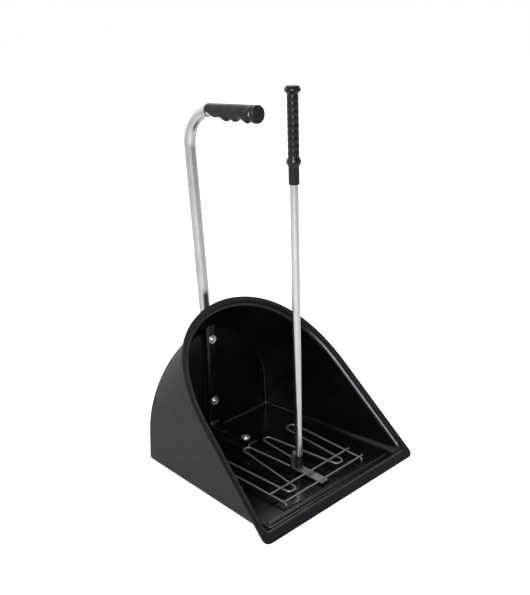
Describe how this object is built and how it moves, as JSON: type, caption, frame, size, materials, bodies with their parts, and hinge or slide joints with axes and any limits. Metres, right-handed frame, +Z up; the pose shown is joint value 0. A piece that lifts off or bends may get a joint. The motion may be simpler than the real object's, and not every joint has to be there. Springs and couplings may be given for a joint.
{
  "type": "upright scoop and claw rake set",
  "caption": "Tall-handled black plastic scoop with a flanged, vaulted mouth and a wire claw rake standing on its floor.",
  "frame": {"origin": "on the ground under the middle of the bounding box", "axes": "+Z up along the handles, -Y towards the scoop's open lip, +X across the lip to the right"},
  "size_m": [0.4466, 0.442, 0.7808],
  "materials": {
    "scoop_black": "satin, lightly scuffed",
    "tube_silver": "satin silver",
    "grip_black": "satin",
    "rivet_steel": "bright",
    "rake_silver": "satin silver",
    "rake_grip_black": "satin",
    "plug_black": "satin",
    "wire_steel": "zinc grey"
  },
  "bodies": {
    "scoop": {"scoop_shell": "scoop_black", "handle_tube": "tube_silver", "handle_grip": "grip_black", "handle_rivets": "rivet_steel", "rivet_washers": "rivet_steel"},
    "rake": {"rake_shaft": "rake_silver", "rake_grip": "rake_grip_black", "rake_plug": "plug_black", "rake_lug": "rake_silver", "rake_strap": "wire_steel", "left_tine_wire": "wire_steel", "right_tine_wire": "wire_steel", "rear_crossbar": "wire_steel", "front_crossbar": "wire_steel"}
  },
  "joints": [
    {"name": "rake_lift", "type": "slide", "parent": "scoop", "child": "rake", "axis": [0, -0.5, 0.866], "range_m": [0, 0.45]}
  ]
}
